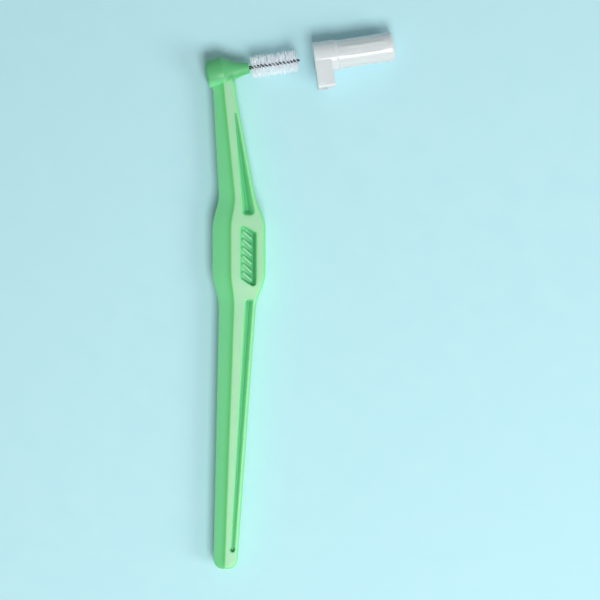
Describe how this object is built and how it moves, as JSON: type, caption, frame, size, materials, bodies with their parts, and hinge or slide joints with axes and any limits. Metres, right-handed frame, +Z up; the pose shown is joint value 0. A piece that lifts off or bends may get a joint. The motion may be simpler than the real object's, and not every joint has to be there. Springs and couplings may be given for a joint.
{
  "type": "interdental brush",
  "caption": "Long-handled interdental brush: slim hollowed handle with a ribbed grip pad, round head set across, twisted wire core with soft bristles, slide-on cap.",
  "frame": {"origin": "on the surface that the brush lies on, under the middle of the set of brush and cap", "axes": "+X out along the wire, +Y square to the wire towards the head, with the handle leaning 8.6 degrees from it, +Z up through the grip pad"},
  "size_m": [0.0532, 0.106, 0.0065],
  "materials": {
    "handle_plastic": "green polypropylene, satin as moulded",
    "wire_steel": "bright drawn stainless wire with a clear coating",
    "bristle_nylon": "translucent white nylon filament",
    "cap_plastic": "natural translucent polypropylene"
  },
  "bodies": {
    "brush": {"handle": "handle_plastic", "core_wire": "wire_steel", "bristle_row_01": "bristle_nylon", "bristle_row_02": "bristle_nylon", "bristle_row_03": "bristle_nylon", "bristle_row_04": "bristle_nylon", "bristle_row_05": "bristle_nylon", "bristle_row_06": "bristle_nylon", "bristle_row_07": "bristle_nylon", "bristle_row_08": "bristle_nylon", "bristle_row_09": "bristle_nylon", "bristle_row_10": "bristle_nylon", "bristle_row_11": "bristle_nylon", "bristle_row_12": "bristle_nylon", "bristle_row_13": "bristle_nylon"},
    "cap": {"protective_cap": "cap_plastic"}
  },
  "joints": [
    {"name": "cap_slide", "type": "slide", "parent": "brush", "child": "cap", "axis": [-1, 0, 0], "range_m": [0, 0.0184]}
  ]
}
